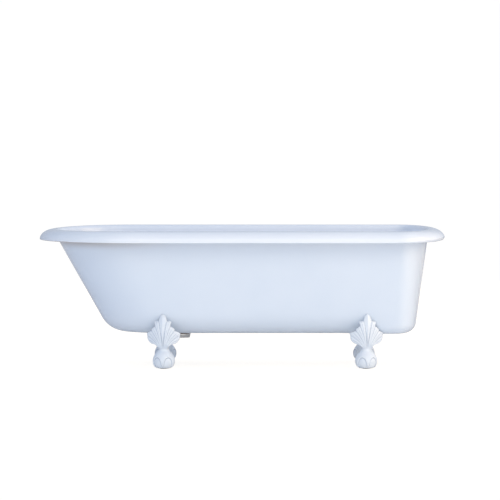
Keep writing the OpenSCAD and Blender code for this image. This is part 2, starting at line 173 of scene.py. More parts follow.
# %% Helpers for finishes
class Finish:
    """A material with its principled shader, and short ways to add nodes."""

    def __init__(self, name, **sockets):
        self.material = bpy.data.materials.new(name)
        self.material.use_nodes = True
        self.tree = self.material.node_tree
        self.shader = self.tree.nodes["Principled BSDF"]
        for socket, value in sockets.items():
            self.shader.inputs[socket.replace("_", " ")].default_value = value

    def node(self, kind, **settings):
        made = self.tree.nodes.new(kind)
        for name, value in settings.items():
            setattr(made, name, value)
        return made

    def link(self, source, target):
        self.tree.links.new(source, target)

    def place(self):
        """The point's place in the object, which doesn't move with the view."""
        return self.node("ShaderNodeTexCoord").outputs["Object"]

    def noise(self, scale, detail=2.0):
        made = self.node("ShaderNodeTexNoise")
        made.inputs["Scale"].default_value = scale
        made.inputs["Detail"].default_value = detail
        self.link(self.place(), made.inputs["Vector"])
        return made.outputs["Fac"]

    def ramp(self, source, low, high, low_value=0.0, high_value=1.0):
        made = self.node("ShaderNodeMapRange", interpolation_type="SMOOTHSTEP")
        sockets = {"From Min": low, "From Max": high, "To Min": low_value, "To Max": high_value}
        for name, value in sockets.items():
            made.inputs[name].default_value = value
        self.link(source, made.inputs["Value"])
        return made.outputs["Result"]

    def math(self, operation, first, second):
        made = self.node("ShaderNodeMath", operation=operation)
        for socket, value in zip(made.inputs, (first, second)):
            if isinstance(value, (int, float)):
                socket.default_value = value
            else:
                self.link(value, socket)
        return made.outputs[0]

    def mix(self, factor, first, second):
        made = self.node("ShaderNodeMix", data_type="RGBA")
        self.link(factor, made.inputs["Factor"])
        for socket, value in ((made.inputs["A"], first), (made.inputs["B"], second)):
            if isinstance(value, tuple):
                socket.default_value = value
            else:
                self.link(value, socket)
        return made.outputs["Result"]

    def bump(self, height, distance, under=None):
        made = self.node("ShaderNodeBump")
        made.inputs["Distance"].default_value = distance
        self.link(height, made.inputs["Height"])
        if under is not None:
            self.link(under, made.inputs["Normal"])
        return made.outputs["Normal"]


def paint(red, green, blue):
    """A colour in linear light from the 0 to 255 values that a screen shows."""
    channels = [v / 255 for v in (red, green, blue)]
    linear = [v / 12.92 if v <= 0.04045 else ((v + 0.055) / 1.055) ** 2.4 for v in channels]
    return (*linear, 1.0)


# %% [markdown]
# ## The enamel
#
# Vitreous enamel is glass melted onto iron. It is bright and slightly blue here,
# its surface is a little wavy like the skin of an orange, and an old bath has
# small dark pinholes where the glass didn't cover the iron. A principled shader
# with a low roughness gives the gloss, and a clear coat gives the glass layer.
# The waviness is bump from two noises: a broad one that bends reflections and a
# fine one for the skin.
#
# Under the roll the outside gets painted shade: a greyer colour that stands in for
# the shadow of the overhanging roll, strongest at the head end, which faces away from
# the main light. It is brought in by one ramp along the height and one along the
# length. Only the outside has it.

# %% The enamel
# Heights and lengths over which painted shade greys the outside under the roll, and the grey it uses
roll_shade_heights, roll_shade_lengths = (487 * mm, 537 * mm), (-750 * mm, -200 * mm)
roll_shade_grey, speck_brown = paint(188, 183, 182), paint(72, 66, 64)
speck_size = (8 * mm, 14 * mm)
patch_scale, cell_scale, wave_scale, skin_scale = 2.6, 9.0, 7.0, 190.0
wave_h, skin_h, coat, coat_roughness = 1.2 * mm, 0.025 * mm, 0.5, 0.06


def paint_roll_shade(finish, body):
    """The enamel's colour with painted shade under the roll, strongest at the head end."""
    axes = finish.node("ShaderNodeSeparateXYZ")
    finish.link(finish.place(), axes.inputs[0])
    # Painted shade: strongest just under the roll and towards the head end
    corner = finish.math("POWER", finish.ramp(axes.outputs["Z"], *roll_shade_heights), 2.0)
    head = finish.ramp(axes.outputs["X"], *roll_shade_lengths, 0.9, 0.14)
    return finish.mix(finish.math("MULTIPLY", corner, head), body, roll_shade_grey)


def enamel_finish(name, colour, patch_colour, roughness, specks, roll_shade=False):
    """Glass on iron. The share of cells with a pinhole is specks, and the last flag adds painted shade
    under the roll.
    """
    finish = Finish(name, Roughness=roughness, IOR=1.5)
    finish.shader.inputs["Coat Weight"].default_value = coat
    finish.shader.inputs["Coat Roughness"].default_value = coat_roughness
    patches = finish.ramp(finish.noise(patch_scale, 3.0), 0.35, 0.7)
    body = finish.mix(patches, colour, patch_colour)
    if roll_shade:
        body = paint_roll_shade(finish, body)
    cells = finish.node("ShaderNodeTexVoronoi")
    cells.inputs["Scale"].default_value = cell_scale
    finish.link(finish.place(), cells.inputs["Vector"])
    near = finish.ramp(cells.outputs["Distance"], *speck_size, 1.0, 0.0)
    parts = finish.node("ShaderNodeSeparateColor")
    finish.link(cells.outputs["Color"], parts.inputs["Color"])
    chosen = finish.ramp(parts.outputs["Red"], 1 - specks, 1 - specks + 0.01)
    speck = finish.math("MULTIPLY", near, chosen)
    finish.link(finish.mix(speck, body, speck_brown), finish.shader.inputs["Base Color"])
    broad = finish.bump(finish.noise(wave_scale, 1.0), wave_h)
    skin = finish.bump(finish.noise(skin_scale, 1.0), skin_h, broad)
    finish.link(skin, finish.shader.inputs["Normal"])
    finish.link(skin, finish.shader.inputs["Coat Normal"])
    return finish.material


inside_tints = paint(236, 242, 250), paint(232, 239, 248)
outside_tints = paint(224, 234, 246), paint(220, 231, 244)
enamel = enamel_finish("enamel_inside", *inside_tints, 0.14, 0.02)
# The outside has painted shade under the roll.
outer_enamel = enamel_finish("enamel_outside", *outside_tints, 0.22, 0.05, roll_shade=True)
print("enamel finishes:", enamel.name, outer_enamel.name)

# %% [markdown]
# ## The casting's section and plan
#
# The casting is a stack of level outlines. Each outline is a round head end,
# two nearly straight sides and a blunt end that grows squarer towards the floor.
# How far an outline stands in from the lip is worked out for four ways out of
# the basin: the sloping head end, the sides, the blunt end's corners and the
# blunt end itself. Each way is a straight lean, a round bottom corner and a long
# shallow curve into the floor.
#
# The stack runs up the inside, over the crest, down the roll to the lip, back
# up under the roll and down the outside. One skin then has both faces of the
# wall, and its thickness is true all over.

# %% Sizes of the casting
rim_l, rim_w, rim_h = 1730 * mm, 780 * mm, 585 * mm
roll_h, crest_r, wall = 48 * mm, 17 * mm, 6 * mm
base_h = 145 * mm
blunt_l, blunt_blend, blunt_square = 197 * mm, 220 * mm, 3.0
head_dip = 4 * mm
side_lean, head_lean = math.radians(8.5), math.radians(29.5)
lip_z = rim_h - roll_h
crest_z = rim_h - crest_r
floor_z = base_h + wall
lip_r = wall / 2
side_r = 110 * mm


class Way:
    """One way out of the basin: overhang of the roll, lean, corner radius, rise and rise radius."""

    def __init__(self, overhang, lean, corner_r, rise=0.0, rise_r=None):
        self.overhang, self.lean, self.corner_r = overhang, lean, corner_r
        self.long_r = rise_r or corner_r
        self.corner_z = base_h + self.long_r - (self.long_r - corner_r) * math.cos(rise)
        self.rise = rise
        top = self.corner_z - corner_r * math.sin(lean)
        self.corner_in = self.run_in(top, 0) + corner_r * math.cos(lean)
        self.rise_z = base_h + self.long_r
        self.rise_in = self.corner_in + (self.long_r - corner_r) * math.sin(rise)

    def run_in(self, z, skin):
        """Inset of the straight run. The skin is 0 outside and the wall's thickness inside."""
        return self.overhang + skin / math.cos(self.lean) + (lip_z - z) * math.tan(self.lean)

    def wall_in(self, z, skin):
        """Inset of the whole wall: crest, neck or straight run, corner and shallow curve."""
        top_r = crest_r - wall + skin
        low_r, long_r = self.corner_r - skin, self.long_r - skin
        if z > crest_z:
            return crest_in + math.sqrt(max(0.0, top_r**2 - (z - crest_z) ** 2))
        if z > self.corner_z - low_r * math.sin(self.lean):
            return max(self.run_in(z, skin), crest_in + top_r)
        if z > self.corner_z - low_r * math.cos(self.rise):
            return self.corner_in - math.sqrt(max(0.0, low_r**2 - (self.corner_z - z) ** 2))
        return self.rise_in - math.sqrt(max(0.0, long_r**2 - (self.rise_z - z) ** 2))


roll_w, blunt_roll_w = 78 * mm, 75 * mm
side = Way(roll_w, side_lean, side_r)
crest_in = side.run_in(crest_z, wall) - crest_r
head = Way(roll_w, head_lean, 114 * mm, math.radians(2.5), 1400 * mm)
corner = Way(roll_w, side_lean, 46 * mm)
blunt = Way(blunt_roll_w, math.radians(8), 46 * mm)
print("crest stands", round(crest_in / mm, 1), "mm in from the lip")

# %% The casting's outlines
end_steps, blend_steps, straight_steps = 56, 12, 16


def power(value, exponent):
    return math.copysign(abs(value) ** exponent, value)


def outline(head_in, side_in, corner_in, blunt_in, z):
    """One level of the casting, from the blunt end round by the far side."""
    half_w, corner_w = rim_w / 2 - side_in, rim_w / 2 - corner_in
    blunt_wall_l = corner_w * (blunt_l - roll_w) / (rim_w / 2 - roll_w)
    blunt_a = max(blunt_l - side_in, blunt_wall_l)
    depth = min(1.0, max(0.0, (lip_z - z) / (lip_z - base_h)))
    square = 2 / (2 + (blunt_square - 2) * depth)
    head_x = -rim_l / 2 + head_in + half_w
    blunt_x = rim_l / 2 - blunt_in - blunt_a
    dip = head_dip * min(1.0, max(0.0, (z - lip_z) / roll_h))
    points = []
    for i in range(end_steps + 1):
        a = math.pi * (i / end_steps - 0.5)
        x, y = blunt_a * power(math.cos(a), square), corner_w * power(math.sin(a), square)
        points.append((blunt_x + x, y, z))
    blend = []
    for i in range(blend_steps):
        f = i / blend_steps
        y = half_w + (corner_w - half_w) * (1 - math.cos(math.pi * f)) / 2
        blend.append((blunt_x - blunt_blend * (1 - f), y, z))
    run = blunt_x - blunt_blend - head_x
    straight = [(head_x + run * i / straight_steps, half_w, z) for i in range(1, straight_steps)]
    far = blend[::-1] + straight[::-1]
    points += far
    for i in range(end_steps + 1):
        a = math.pi * (0.5 + i / end_steps)
        points.append((head_x + half_w * math.cos(a), half_w * math.sin(a), z + dip * math.cos(a) ** 3))
    points += [(x, -y, z) for x, y, z in straight + blend]
    return points


def wall_level(z, skin):
    return outline(*(way.wall_in(z, skin) for way in (head, side, corner, blunt)), z)


def even_level(inset, z, tuck=0.0):
    return outline(inset, inset, inset, inset + tuck, z)


# %% [markdown]
# The blunt end's lip is tucked a little under the roll, which the near view of
# its tip shows: there the roll is widest above its lip, while the head end's lip
# is its widest place. Only the blunt end's inset gets that tuck, and it fades
# out a third of the way up the roll.

# %% The casting's levels
corner_steps, run_steps, crest_steps, roll_steps, lip_steps = 22, 14, 8, 22, 8
tuck, tuck_h = 7 * mm, 16.7 * mm


def corner_levels(skin):
    r, sweep = side_r - skin, math.pi / 2 - side_lean
    return [base_h + skin + r * (1 - math.cos(sweep * i / corner_steps)) for i in range(corner_steps + 1)]


def crest_levels(skin):
    r = crest_r - wall + skin
    return [crest_z + r * math.sin(math.pi / 2 * i / crest_steps) for i in range(crest_steps + 1)]


def run_levels(skin):
    """Levels of the straight run, with one where the head end meets its upright neck."""
    low, high = corner_levels(skin)[-1], crest_z
    neck = lip_z + (head.run_in(lip_z, skin) - crest_in - (crest_r - wall + skin)) / math.tan(head_lean)
    even = [low + (high - low) * i / run_steps for i in range(1, run_steps)]
    return sorted([z for z in even if abs(z - neck) > 6 * mm] + [neck])


def roll_level(a, skin):
    """A level of the roll at angle a from the crest's top down to the lip."""
    z = lip_z + lip_r + (roll_h - lip_r - skin) * math.cos(a)
    under = max(0.0, 1 - (z - lip_z) / tuck_h)
    inset = skin + (crest_in - skin) * (1 - math.sin(a))
    return even_level(inset, z, tuck * under**2)


def lip_level(a):
    """A level of the lip's rounding, from its outer side to its inner side."""
    z = lip_z + lip_r * (1 - math.sin(a))
    under = max(0.0, 1 - (z - lip_z) / tuck_h)
    return even_level(lip_r * (1 - math.cos(a)), z, tuck * under**2)


def part_turns(count, first=1):
    return [math.pi / 2 * i / count for i in range(first, count + 1)]


levels = [wall_level(z, wall) for z in corner_levels(wall) + run_levels(wall) + crest_levels(wall)]
levels += [roll_level(a, 0) for a in part_turns(roll_steps)]
levels += [lip_level(math.pi * i / lip_steps) for i in range(1, lip_steps + 1)]
levels += [roll_level(math.pi / 2 - a, wall) for a in part_turns(roll_steps)]
levels += [wall_level(z, 0) for z in crest_levels(0)[-2::-1] + run_levels(0)[::-1] + corner_levels(0)[::-1]]
ring_points = len(levels[0])
print(len(levels), "levels of", ring_points, "points")

# %% [markdown]
# ## The casting as one solid
#
# The skin is closed by one flat face inside, the floor, and one outside, the
# underside. Cast pads for the feet and a boss for the drain stand out of the
# underside, so they are joined by a boolean union. The drain's recess and hole
# and the tapped holes for the studs are cut out, each by a turned cutter. The
# exact solver is slower than the fast one but copes with faces that touch.

# %% Turned forms and booleans
def turned(name, profile, steps=64, centre=(0.0, 0.0), open_middle=False):
    """A profile of (radius, height) carried round a vertical axis. It is closed at the axis,
    or into a ring where open_middle is true."""
    x, y = centre
    points = [(x + r * math.cos(a), y + r * math.sin(a), z) for r, z in profile for a in around(steps)]
    if open_middle:
        return outward(new_mesh(name, points, ring_faces(len(profile), steps, closed=True)))
    return capped(name, points, len(profile), steps)


def combined(thing, mesh, operation):
    """Joins or cuts an object with a mesh that is thrown away afterwards."""
    tool = new_object("tool", mesh)
    step = thing.modifiers.new("combine", "BOOLEAN")
    step.operation, step.solver, step.object = operation, "EXACT", tool
    settle(thing)
    bpy.data.objects.remove(tool)


def rounded(corner_points, r, steps=5):
    """A profile whose inner corners are rounded by radius r."""
    made = [corner_points[0]]
    for before, here, after in zip(corner_points, corner_points[1:], corner_points[2:]):
        here_v = Vector(here)
        one, two = Vector(before) - here_v, Vector(after) - here_v
        reach = min(r / math.tan(one.angle(two) / 2), 0.49 * one.length, 0.49 * two.length)
        start, end = here_v + one.normalized() * reach, here_v + two.normalized() * reach
        for i in range(steps + 1):
            f = i / steps
            made.append(tuple((1 - f) ** 2 * start + 2 * f * (1 - f) * here_v + f**2 * end))
    return made + [corner_points[-1]]


# %% Pads, boss and drain
head_foot_x, blunt_foot_x, bolt_y = -319 * mm, 508 * mm, 140 * mm
pad_h, pad_r, pad_l = 10 * mm, 26 * mm, 28 * mm
flange_t = 9 * mm
pad_z = base_h - pad_h
flange_z = pad_z - flange_t
stud_r, tap_depth, thread_gap = 5 * mm, 11 * mm, 0.1 * mm
drain_x, drain_r, recess, recess_r = -262 * mm, 24 * mm, 5 * mm, 37.5 * mm
past = 5 * mm  # how far a cutter reaches past what it cuts
seat_z = floor_z - recess
boss_z = seat_z - wall - 1 * mm
boss_r = 41 * mm


def stadium(name, r, length, low, high, edge, steps=20):
    """A slab with round ends along Y and rounded upper and lower edges."""
    sections = [(edge * (1 - math.sin(a)), low + edge * (1 - math.cos(a))) for a in part_turns(4, 0)]
    sections += [(inset, low + high - z) for inset, z in sections[::-1]]
    rings = []
    for inset, z in sections:
        for end in (1, -1):
            for i in range(steps + 1):
                a = math.pi * i / steps + (0 if end == 1 else math.pi)
                rings.append(((r - inset) * math.cos(a), end * length / 2 + (r - inset) * math.sin(a), z))
    return capped(name, rings, len(sections), 2 * (steps + 1))


def moved(mesh, x, y, z=0.0):
    mesh.transform(Matrix.Translation((x, y, z)))
    return mesh


bolts = [(x, y) for x in (head_foot_x, blunt_foot_x) for y in (-bolt_y, bolt_y)]
skin_points = [p for level in levels for p in level]
casting_mesh = capped("bath_casting", skin_points, len(levels), ring_points)
casting = piece("bath_casting", casting_mesh, enamel, "enamel", "tub_shell")
for x, y in bolts:
    pad = stadium("pad", pad_r, pad_l, pad_z, base_h + lip_r, 1.2 * mm)
    combined(casting, moved(pad, x, y), "UNION")
boss = turned("boss", [(boss_r, base_h + lip_r), (boss_r, boss_z + 1 * mm), (boss_r - 1 * mm, boss_z)])
combined(casting, moved(boss, drain_x, 0), "UNION")
drain_profile = [
    (drain_r, boss_z - past),
    (drain_r, seat_z),
    (recess_r, seat_z),
    (recess_r, floor_z - 1.5 * mm),
    (recess_r + 0.5 * mm, floor_z - 0.5 * mm),
    (recess_r + 2.5 * mm, floor_z + 0.3 * mm),
    (recess_r + 2.5 * mm, floor_z + 9 * mm),
]
combined(casting, moved(turned("drain", drain_profile, 96), drain_x, 0), "DIFFERENCE")
for x, y in bolts:
    tap = turned("tap", [(stud_r + thread_gap, pad_z - past), (stud_r + thread_gap, pad_z + tap_depth)], 32)
    combined(casting, moved(tap, x, y), "DIFFERENCE")
print("casting:", len(casting.data.vertices), "points")

# %% [markdown]
# The inside and the roll wear the bright inner enamel, and the outside the
# slightly softer outer one. Which is which follows from a face's place: outside
# faces lie below the lip, or under the roll, and look away from the basin.

# %% Inside and outside of the casting
def is_outside(face):
    """True for the outer wall, the underside and the hidden hollow under the roll."""
    x, y, z = face.center
    if z < boss_z + 1 * mm or (z < base_h + 0.5 * wall and face.normal.z < -0.5):
        return True
    depth_x = min(rim_l / 2 - x, x + rim_l / 2)
    away = Vector((math.copysign(max(0.0, abs(x) - (rim_l - rim_w) / 2), x), y, 0)).normalized()
    if z < lip_z - 0.5 * mm:
        return face.normal.dot(away) > 0 or face.normal.z < -0.9
    return face.normal.z < -0.2 and depth_x > 0


casting.data.materials.clear()
casting.data.materials.append(enamel)
casting.data.materials.append(outer_enamel)
for face in casting.data.polygons:
    face.material_index = int(is_outside(face))
smooth(casting.data, 32)
outside = sum(face.material_index for face in casting.data.polygons)
print("outside faces:", outside, "of", len(casting.data.polygons))

# %% [markdown]
# ## The feet
#
# Each foot is one iron casting. From the floor up it has a ball in a claw of
# four toes, a slim ankle and a palmette: a fan of fluted leaves over a swelling
# knee. Behind them a web and a shank carry the flange that is bolted to the
# bath. The foot's own frame has its bolt hole on the vertical axis and its ball
# towards the near side.
#
# Cast and painted edges are never sharp. So each part of the foot is built as
# its own closed form, they are joined in one mesh, a voxel remesh melts them
# into one skin, and a light smoothing rounds it as sand and paint do.

# %% Sizes of a foot
foot_reach, ankle_r, ankle_hollow_r = 107 * mm, 21 * mm, 30 * mm
claw_r, ball_r, ball_h = 47 * mm, 43 * mm, 33 * mm
leaf_z, leaf_out, leaf_t, leaf_round_r = 94 * mm, 30 * mm, 10 * mm, 80 * mm
knee, knee_h = 14 * mm, 165 * mm
seat_gap = 0.3 * mm
hollow_z = ball_h + math.sqrt((claw_r + ankle_hollow_r) ** 2 - (ankle_r + ankle_hollow_r) ** 2)
swell_share = claw_r / (claw_r + ankle_hollow_r)
swell_z = ball_h + (hollow_z - ball_h) * swell_share
print("ankle hollow from", round(swell_z / mm, 1), "to", round(hollow_z / mm, 1), "mm up")


def bath_side(z):
    """Half-width of the bath's outer side at a height, where its bottom corner is tightest."""
    return rim_w / 2 - min(side.wall_in(z, 0), corner.wall_in(z, 0))


def smoothstep(low, high, value):
    t = np.clip((value - low) / (high - low), 0, 1)
    return t * t * (3 - 2 * t)


# %% [markdown]
# ### The claw
#
# The claw is a turned swell. Arched windows between the toes let the ball show,
# each with a thin raised border. The radius at each place is mixed from the
# claw's and the ball's by how far inside a window the place lies, so one grid of
# points has toes, ball and border together. The sole is flat only in its middle
# and rounds up towards its edge, as a ball that stands on a floor does.

# %% The claw
windows = [(-33, 51), (33, 51), (-122, 58), (122, 58)]
window_h, window_stretch, window_spread = 22 * mm, 1.35, 1.12
border_w, border_h, window_edge = 1.4 * mm, 0.9 * mm, 1 * mm
shown_ball_r = ball_r + 1 * mm
sole_lift, sole_h, flat_share = 3.5 * mm, 16 * mm, 0.45


def claw_radius(z):
    """Radius of the toes' surface at a height: the swell, then the hollow up to the ankle."""
    swell = np.sqrt(np.maximum(claw_r**2 - (z - ball_h) ** 2, 0))
    hollow = ankle_r + ankle_hollow_r - np.sqrt(np.maximum(ankle_hollow_r**2 - (hollow_z - z) ** 2, 0))
    return np.where(z < swell_z, swell, np.where(z < hollow_z, hollow, ankle_r))


def window_distance(turn, z, r):
    """How far a place on the claw lies outside the nearest window, negative inside it."""
    nearest = np.full(turn.shape, 1.0)
    for place, angle in windows:
        half_w = claw_r * math.sin(math.radians(angle / 2))
        a = turn - math.radians(place)
        across = np.where(np.cos(a) > 0, np.abs(r * np.sin(a)), 1.0)
        spread = 1 + (window_spread - 1) * np.clip((window_h - z) / window_h, 0, 1)
        arch = np.sqrt(across**2 + (np.maximum(z - window_h, 0) / window_stretch) ** 2) - half_w * spread
        nearest = np.minimum(nearest, arch)
    return nearest


def claw_mesh():
    turn_steps, rows = 240, 110
    top_z = hollow_z + 10 * mm
    z = np.linspace(0, top_z, rows)[:, None] * np.ones(turn_steps)
    turn = np.linspace(0, 2 * math.pi, turn_steps, endpoint=False) * np.ones((rows, 1))
    toes = claw_radius(z)
    ball = np.sqrt(np.maximum(shown_ball_r**2 - (z - ball_h) ** 2, 0))
    away = window_distance(turn, z, toes)
    inside = smoothstep(-window_edge, window_edge, -away)
    border = border_h * np.exp(-(((away - border_w) / border_w) ** 2))
    r = toes + (ball - toes) * inside + border * (z > 1 * mm)
    z = z + sole_lift * np.maximum(1 - z / sole_h, 0)
    flat_sole = ((0 * z[:1], z), (flat_share * r[:1], r), (turn[:1], turn))
    z, r, turn = (np.concatenate(pair) for pair in flat_sole)
    x, y = r * np.sin(turn), -foot_reach - r * np.cos(turn)
    return capped("claw", np.stack([x, y, z], axis=-1).reshape(-1, 3), rows + 1, turn_steps)


print("claw of radius", claw_r, "metres with", len(windows), "windows")


# %% [markdown]
# ### The palmette
#
# Rays run from the palmette's root to its edge. The edge steps down from leaf to
# leaf as on the real casting: a pointed middle leaf, two squared leaves on each
# side and a broad lobe that rolls out at the bottom. Each leaf swells between
# its valleys, the middle one has a raised rib, and the side leaves have a fine
# groove down their middle. The back is ground to the bath's side.

# %% The palmette
edge_angles = [0, 4.4, 8.4, 9.2, 10.2, 18.8, 20.2, 21.4, 34.6, 36.2, 37.6, 45, 53.5, 56.5, 63, 70, 74, 77]
edge_lengths = [138, 131, 114, 108, 110, 113, 90, 92, 88.5, 80.5, 83, 87.5, 90.5, 83, 78, 68, 60, 50]
valleys = [0, 9.2, 20, 36, 55.5, 77]
fan_end = valleys[-1]
neck_w, neck_z, bend_l = 17 * mm, 80 * mm, 22 * mm
rib_h, flute_h, groove_h, tip_bevel = 0.9 * mm, 3.4 * mm, 1.5 * mm, 2.0 * mm
fan_lift, root_sink, thinnest = 4 * mm, 0.6 * mm, 2 * mm
relief_rise, front_swell, back_swell, bevel_start = (0.02, 0.32), 0.36, 0.42, 0.94


def leaf_front(x, z):
    """Depth of the palmette's mean front, which swells at the knee and rounds back."""
    swell = np.sin(math.pi / 2 * (z - leaf_z) / (knee_h - leaf_z))
    return -foot_reach - leaf_out - knee * swell + x**2 / (2 * leaf_round_r)


def leaf_relief(angle):
    """Height of the leaves over the mean front, from -1 in a valley to 1 on a ridge, and the
    height of the middle rib and depth of the grooves."""
    place = np.interp(np.abs(angle), valleys, range(len(valleys)))
    leaf = np.minimum(np.floor(place), len(valleys) - 2)
    u = np.where(leaf == 0, place, 2 * (place - leaf) - 1)
    body = np.where(leaf == 0, 1 - 2 * np.abs(u) ** 0.9, 2 * np.sqrt(np.maximum(1 - u**2, 0)) - 1)
    rib = np.where(leaf == 0, np.exp(-np.abs(u) / 0.16), 0)
    groove = np.where(leaf == 0, 0, np.exp(-((u / 0.2) ** 2)))
    return body, rib, groove


def palmette_mesh(turn):
    """The fan, whose rays rise side by side out of the ankle and bend out to their leaf tips."""
    columns, rows = 317, 64
    angle = np.linspace(-fan_end, fan_end, columns)[:, None]
    t = np.linspace(0, 1, rows)[None, :]
    length = np.interp(np.abs(angle), edge_angles, edge_lengths) * mm
    share = angle / fan_end
    across, up = np.sin(np.radians(angle)), np.cos(np.radians(angle))
    start, bend, end = (1 - t) ** 2, 2 * t * (1 - t), t**2
    x = start * neck_w * share + bend * bend_l * across + end * length * across
    bend_z = leaf_z + bend_l * up + fan_lift * np.abs(share)
    z = start * neck_z + bend * bend_z + end * (leaf_z + length * up)
    body, rib, groove = leaf_relief(angle)
    relief = (flute_h * body * 0.5 + rib_h * rib - groove_h * groove) * smoothstep(*relief_rise, t)
    ankle = -foot_reach - np.sqrt(ankle_r**2 - (neck_w * share) ** 2) + root_sink
    swell = smoothstep(0, front_swell, t)
    front = ankle + (leaf_front(x, z) - ankle) * swell - relief
    front = front + tip_bevel * smoothstep(bevel_start, 1.0, t)
    seat = (bolt_y - bath_side_of(z) - seat_gap - x * math.sin(turn)) / math.cos(turn)
    back = np.minimum(leaf_front(x, z) + leaf_t, seat) + foot_reach
    back = -foot_reach + back * smoothstep(0, back_swell, t)
    front_points = np.stack([x, front, z], axis=-1)
    back_points = np.stack([x, np.maximum(back, front + thinnest), z], axis=-1)[:, ::-1]
    rings = np.concatenate([front_points, back_points], axis=1).reshape(-1, 3)
    return capped("palmette", rings, columns, 2 * rows)


bath_side_of = np.vectorize(bath_side)
print("palmette of", 2 * len(valleys) - 3, "leaves")

# %% [markdown]
# ### Web, shank and flange
#
# Behind the palmette a plain web stiffens it, and a shank runs from the ankle
# back and up to the flange. Nobody sees them from the front, but the bath can be
# looked at from below. They are convex forms, so a hull of a few outlines gives
# each one.

# %% Web, shank and flange
web_t, shank_w, shank_y, bridge_y = 12 * mm, 17 * mm, -50 * mm, -8 * mm
bolt_hole_r = 6.5 * mm


def hull_mesh(name, points):
    work = bmesh.new()
    for p in points:
        work.verts.new(p)
    made = bmesh.ops.convex_hull(work, input=work.verts)
    inner = {v for v in made["geom_interior"] + made["geom_unused"] if isinstance(v, bmesh.types.BMVert)}
    bmesh.ops.delete(work, geom=list(inner), context="VERTS")
    mesh = bpy.data.meshes.new(name)
    work.to_mesh(mesh)
    work.free()
    return outward(mesh)


def slab(corners, half_x):
    """Points of an outline in the foot's middle plane, spread to both sides."""
    return [(x, y, z) for y, z in corners for x in (-half_x, half_x)]


def web_meshes():
    hip_z = leaf_z + (knee_h - leaf_z) * 0.7
    hip_y = float(leaf_front(0.0, hip_z)) + leaf_t / 2
    low = [(-foot_reach - ankle_r / 2, leaf_z - 4 * mm), (-foot_reach + ankle_r / 2, leaf_z - 4 * mm)]
    upper = [(hip_y, hip_z), (hip_y + 20 * mm, pad_z + web_t), (-foot_reach + 25 * mm, pad_z)]
    lower = [(-foot_reach + 25 * mm, pad_z), (shank_y, pad_z), (shank_y, flange_z)]
    return [hull_mesh("web", slab(low + upper, web_t / 2)), hull_mesh("web", slab(low + lower, web_t / 2))]


def shank_mesh():
    disc_z, disc_h, disc_r = hollow_z - 4 * mm, 7 * mm, ankle_r - 3 * mm
    rim = [(disc_r * math.cos(a), -foot_reach + disc_r * math.sin(a)) for a in around(32)]
    disc = [(x, y, z) for x, y in rim for z in (disc_z, disc_z + disc_h)]
    block = slab([(y, z) for y in (shank_y, shank_y + 14 * mm) for z in (flange_z, pad_z)], shank_w)
    return hull_mesh("shank", disc + block)


def bridge_mesh():
    corners = [(y, z) for y in (shank_y, bridge_y) for z in (flange_z, pad_z)]
    return hull_mesh("bridge", slab(corners, shank_w))


print("web", web_t, "metres thick, shank", 2 * shank_w, "metres wide")


# %% [markdown]
# ### Melting a foot together
#
# The parts overlap, so a voxel remesh gives one closed skin. The crease where the
# palmette rises out of the ankle is then rounded by moving its points towards the
# mean of their neighbours, because sand can't hold a sharp corner there.
#
# Last the hollows are measured: a point whose neighbours stand further out than
# itself lies in a hollow. The paint reads that measure for painted shade in the
# hollows and a painted highlight on the ridges.

# %% Melting a foot together
foot_voxel = 1.3 * mm
fillet_z, fillet_h, fillet_passes = 82 * mm, 7 * mm, 40


def joined(name, meshes):
    work = bmesh.new()
    for mesh in meshes:
        work.from_mesh(mesh)
    made = bpy.data.meshes.new(name)
    work.to_mesh(made)
    work.free()
    return made


def read_points(mesh, what):
    values = np.empty(len(mesh.vertices) * 3)
    mesh.vertices.foreach_get(what, values)
    return values.reshape(-1, 3)


def averager(mesh):
    """A function that gives each point the mean of its neighbours' values."""
    edges = np.empty(len(mesh.edges) * 2, int)
    mesh.edges.foreach_get("vertices", edges)
    edges = edges.reshape(-1, 2)
    links = np.bincount(edges.ravel(), minlength=len(mesh.vertices))[:, None]

    def averaged(values):
        total = np.zeros_like(values)
        np.add.at(total, edges[:, 0], values[edges[:, 1]])
        np.add.at(total, edges[:, 1], values[edges[:, 0]])
        return total / np.maximum(links, 1)

    return averaged


def round_ankle(mesh):
    """Rounds the crease where the palmette rises out of the ankle's front and sides."""
    averaged, places = averager(mesh), read_points(mesh, "co")
    share = np.exp(-(((places[:, 2:] - fillet_z) / fillet_h) ** 2)) * (places[:, 1:2] < -foot_reach)
    for _ in range(fillet_passes):
        places = places + (averaged(places) - places) * share * 0.7
    mesh.vertices.foreach_set("co", places.ravel())
    mesh.update()


def measure_hollows(mesh, passes=3, depth=0.22 * mm):
    """Stores on each point how deep it lies in a hollow, from 0 on ridges and flats to 1."""
    averaged, places, normals = averager(mesh), read_points(mesh, "co"), read_points(mesh, "normal")
    soft = places
    for _ in range(passes):
        soft = averaged(soft)
    hollow = np.sum((soft - places) * normals, axis=1, keepdims=True)
    for _ in range(2):
        hollow = averaged(hollow)
    for name, values in (("hollow", hollow), ("ridge", -hollow)):
        layer = mesh.attributes.new(name, "FLOAT", "POINT")
        layer.data.foreach_set("value", np.clip(values.ravel() / depth, 0, 1).astype(np.float32))


def foot_mesh(turn):
    """A foot in its own frame, whose palmette is ground for a turn in radians."""
    flange = stadium("flange", pad_r, pad_l, flange_z, pad_z, 0.8 * mm)
    parts = [claw_mesh(), palmette_mesh(turn), *web_meshes(), shank_mesh(), bridge_mesh(), flange]
    blank = new_object("blank", joined("foot", parts))
    melt = blank.modifiers.new("melt", "REMESH")
    melt.mode, melt.voxel_size = "VOXEL", foot_voxel
    rub = blank.modifiers.new("rub", "SMOOTH")
    rub.factor, rub.iterations = 0.5, 3
    settle(blank)
    hole = turned("hole", [(bolt_hole_r, flange_z - 9 * mm), (bolt_hole_r, pad_z + 9 * mm)], 40)
    combined(blank, hole, "DIFFERENCE")
    mesh = blank.data
    round_ankle(mesh)
    measure_hollows(mesh)
    bpy.data.objects.remove(blank)
    return mesh
